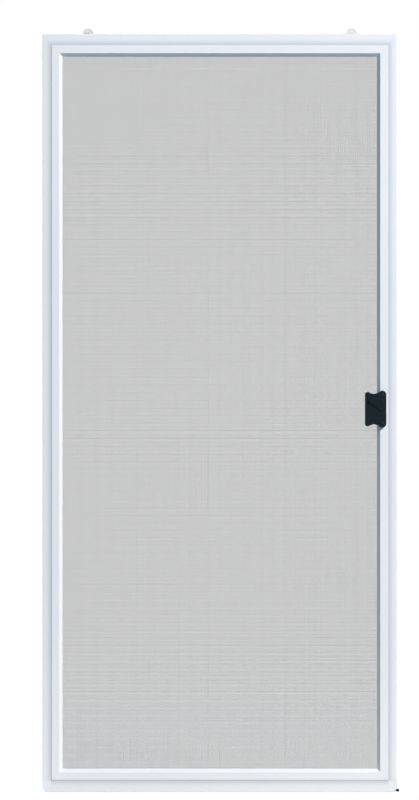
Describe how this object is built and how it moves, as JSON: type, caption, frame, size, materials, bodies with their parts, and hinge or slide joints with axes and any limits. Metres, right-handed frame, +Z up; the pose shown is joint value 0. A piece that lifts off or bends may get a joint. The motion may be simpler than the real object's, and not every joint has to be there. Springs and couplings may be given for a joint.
{
  "type": "sliding patio screen door",
  "caption": "Full-height sliding screen door: rolled steel frame round a stretched insect screen, with adjustable rollers, pulls on both faces and a hook latch.",
  "frame": {"origin": "middle of the bottom rail's flat underside, half way through the frame", "axes": "+X across the door towards the latch stile, +Y from the outdoor face to the indoor face, +Z up"},
  "size_m": [0.9205, 0.0385, 1.971],
  "materials": {
    "enamelled_steel": "smooth baked white enamel on rolled steel",
    "screen_cloth": "vinyl-coated glass-fibre insect screen, charcoal",
    "vinyl_bead": "soft ribbed vinyl",
    "key_nylon": "moulded nylon",
    "wheel_nylon": "moulded nylon, slightly waxy",
    "zinc_plate": "zinc-plated pressed steel",
    "black_plastic": "moulded black ABS, satin",
    "black_screw": "black oxide on steel",
    "bumper_rubber": "moulded black rubber"
  },
  "bodies": {
    "frame": {"left_stile": "enamelled_steel", "right_stile": "enamelled_steel", "top_rail": "enamelled_steel", "bottom_rail": "enamelled_steel", "screen_mesh": "screen_cloth", "left_bead": "vinyl_bead", "right_bead": "vinyl_bead", "top_bead": "vinyl_bead", "bottom_bead": "vinyl_bead", "edge_bumper": "bumper_rubber", "front_pull": "black_plastic", "rear_pull": "black_plastic", "upper_pull_screw": "black_screw", "lower_pull_screw": "black_screw", "latch_case": "zinc_plate", "hook_pin": "zinc_plate", "top_left_corner_key": "key_nylon", "top_left_roller_housing": "zinc_plate", "top_left_adjusting_screw": "zinc_plate", "top_right_corner_key": "key_nylon", "top_right_roller_housing": "zinc_plate", "top_right_adjusting_screw": "zinc_plate", "bottom_left_corner_key": "key_nylon", "bottom_left_roller_housing": "zinc_plate", "bottom_left_adjusting_screw": "zinc_plate", "bottom_right_corner_key": "key_nylon", "bottom_right_roller_housing": "zinc_plate", "bottom_right_adjusting_screw": "zinc_plate"},
    "top_left_carriage_body": {"top_left_carriage": "zinc_plate", "top_left_axle": "zinc_plate"},
    "top_left_wheel_body": {"top_left_wheel": "wheel_nylon"},
    "top_right_carriage_body": {"top_right_carriage": "zinc_plate", "top_right_axle": "zinc_plate"},
    "top_right_wheel_body": {"top_right_wheel": "wheel_nylon"},
    "bottom_left_carriage_body": {"bottom_left_carriage": "zinc_plate", "bottom_left_axle": "zinc_plate"},
    "bottom_left_wheel_body": {"bottom_left_wheel": "wheel_nylon"},
    "bottom_right_carriage_body": {"bottom_right_carriage": "zinc_plate", "bottom_right_axle": "zinc_plate"},
    "bottom_right_wheel_body": {"bottom_right_wheel": "wheel_nylon"},
    "lever_body": {"thumb_lever": "black_plastic"},
    "hook_body": {"latch_hook": "zinc_plate"}
  },
  "joints": [
    {"name": "top_left_adjust", "type": "slide", "parent": "frame", "child": "top_left_carriage_body", "axis": [0, 0, 1], "range_m": [-0.014, 0]},
    {"name": "top_left_spin", "type": "hinge", "parent": "top_left_carriage_body", "child": "top_left_wheel_body", "pos_m": [-0.34, 0, 1.957], "axis": [0, 1, 0], "continuous": true},
    {"name": "top_right_adjust", "type": "slide", "parent": "frame", "child": "top_right_carriage_body", "axis": [0, 0, 1], "range_m": [-0.014, 0]},
    {"name": "top_right_spin", "type": "hinge", "parent": "top_right_carriage_body", "child": "top_right_wheel_body", "pos_m": [0.34, 0, 1.957], "axis": [0, 1, 0], "continuous": true},
    {"name": "bottom_left_adjust", "type": "slide", "parent": "frame", "child": "bottom_left_carriage_body", "axis": [0, 0, -1], "range_m": [0, 0.014]},
    {"name": "bottom_left_spin", "type": "hinge", "parent": "bottom_left_carriage_body", "child": "bottom_left_wheel_body", "pos_m": [-0.34, 0, 0.0147], "axis": [0, 1, 0], "continuous": true},
    {"name": "bottom_right_adjust", "type": "slide", "parent": "frame", "child": "bottom_right_carriage_body", "axis": [0, 0, -1], "range_m": [0, 0.014]},
    {"name": "bottom_right_spin", "type": "hinge", "parent": "bottom_right_carriage_body", "child": "bottom_right_wheel_body", "pos_m": [0.34, 0, 0.0147], "axis": [0, 1, 0], "continuous": true},
    {"name": "lever_turn", "type": "hinge", "parent": "frame", "child": "lever_body", "pos_m": [0.4186, -0.018, 0.988], "axis": [0, -1, 0], "range_deg": [0, 66]},
    {"name": "hook_swing", "type": "hinge", "parent": "frame", "child": "hook_body", "pos_m": [0.445, 0, 0.976], "axis": [0, 1, 0], "range_deg": [0, 90]}
  ],
  "couplings": [
    {"joint": "hook_swing", "follows": "lever_turn", "ratio": 1.36}
  ]
}
